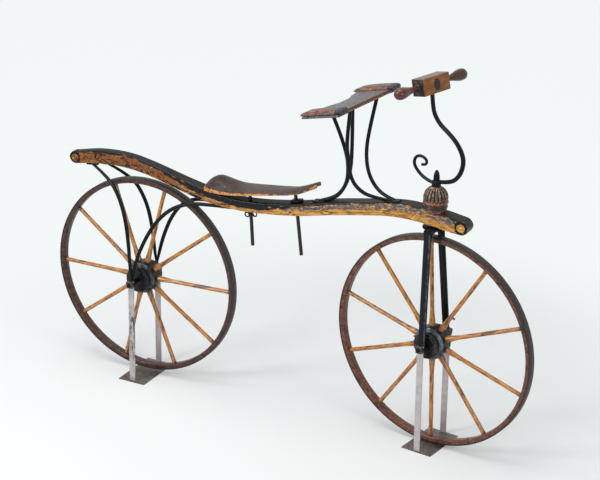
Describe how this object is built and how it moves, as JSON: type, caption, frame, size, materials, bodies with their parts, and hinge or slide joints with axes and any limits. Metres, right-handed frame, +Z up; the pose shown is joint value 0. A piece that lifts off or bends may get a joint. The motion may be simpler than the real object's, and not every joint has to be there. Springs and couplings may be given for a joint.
{
  "type": "draisine",
  "caption": "Early wooden running machine: curved beam, padded saddle, armrest on bent irons, scrolled steering lever, spoked iron-tyred wheels in line on low display stands.",
  "frame": {"origin": "on the floor, midway between the two wheel axles and in the machine's middle plane", "axes": "+X forward, +Y to the rider's left, +Z up; front wheel, fork and handle are parked 6.6 degrees to the right"},
  "size_m": [1.749, 0.3641, 1.2185],
  "materials": {
    "beam_wood": "worn ochre paint over oak",
    "tyre_iron": "rusty flat hoop",
    "felloe_wood": "dark reddish bent wood",
    "spoke_wood": "worn ochre paint",
    "nave_paint": "dark turned wood",
    "head_bronze": "dull bronze brown",
    "saddle_leather": "dark mottled leather",
    "armrest_leather": "grey-brown leather",
    "armrest_wood": "grey worn wood",
    "grip_wood": "polished red-brown",
    "block_wood": "worn orange-brown",
    "stand_steel": "plain dull steel",
    "black_iron": "semi-gloss black"
  },
  "bodies": {
    "frame": {"beam": "beam_wood", "head_rings": "head_bronze", "head_dome": "head_bronze", "saddle": "saddle_leather", "saddle_bracket": "black_iron", "saddle_screw_back": "black_iron", "saddle_screw_front": "black_iron", "saddle_wing_nut": "black_iron", "armrest_board": "armrest_wood", "armrest_pad": "armrest_leather", "armrest_bolts": "black_iron", "rear_axle": "black_iron", "rear_stand_plate": "stand_steel", "armrest_wing_right": "armrest_leather", "armrest_iron_back_right": "black_iron", "armrest_iron_front_right": "black_iron", "back_stay_right": "black_iron", "front_stay_right": "black_iron", "rear_stand_upright_right": "stand_steel", "armrest_wing_left": "armrest_leather", "armrest_iron_back_left": "black_iron", "armrest_iron_front_left": "black_iron", "back_stay_left": "black_iron", "front_stay_left": "black_iron", "rear_stand_upright_left": "stand_steel"},
    "steering": {"steering_stem": "black_iron", "steering_lever": "black_iron", "lever_scroll": "black_iron", "handle_block": "block_wood", "handle_inlay": "black_iron", "handle_grip_right": "grip_wood", "handle_grip_left": "grip_wood", "fork_crown": "black_iron", "front_axle": "black_iron", "front_stand_plate": "stand_steel", "fork_blade_right": "black_iron", "front_stand_upright_right": "stand_steel", "fork_blade_left": "black_iron", "front_stand_upright_left": "stand_steel"},
    "front_wheel": {"front_tyre": "tyre_iron", "front_felloe": "felloe_wood", "front_spokes": "spoke_wood", "front_nave": "nave_paint"},
    "rear_wheel": {"rear_tyre": "tyre_iron", "rear_felloe": "felloe_wood", "rear_spokes": "spoke_wood", "rear_nave": "nave_paint"}
  },
  "joints": [
    {"name": "steering_turn", "type": "hinge", "parent": "frame", "child": "steering", "pos_m": [0.516, 0, 0.75], "axis": [0, 0, 1], "range_deg": [-28.4, 41.6]},
    {"name": "front_wheel_spin", "type": "hinge", "parent": "steering", "child": "front_wheel", "pos_m": [0.52991, -0.00161, 0.358], "axis": [0.1149, 0.9934, 0], "continuous": true},
    {"name": "rear_wheel_spin", "type": "hinge", "parent": "frame", "child": "rear_wheel", "pos_m": [-0.53, 0, 0.356], "axis": [0, 1, 0], "continuous": true}
  ]
}
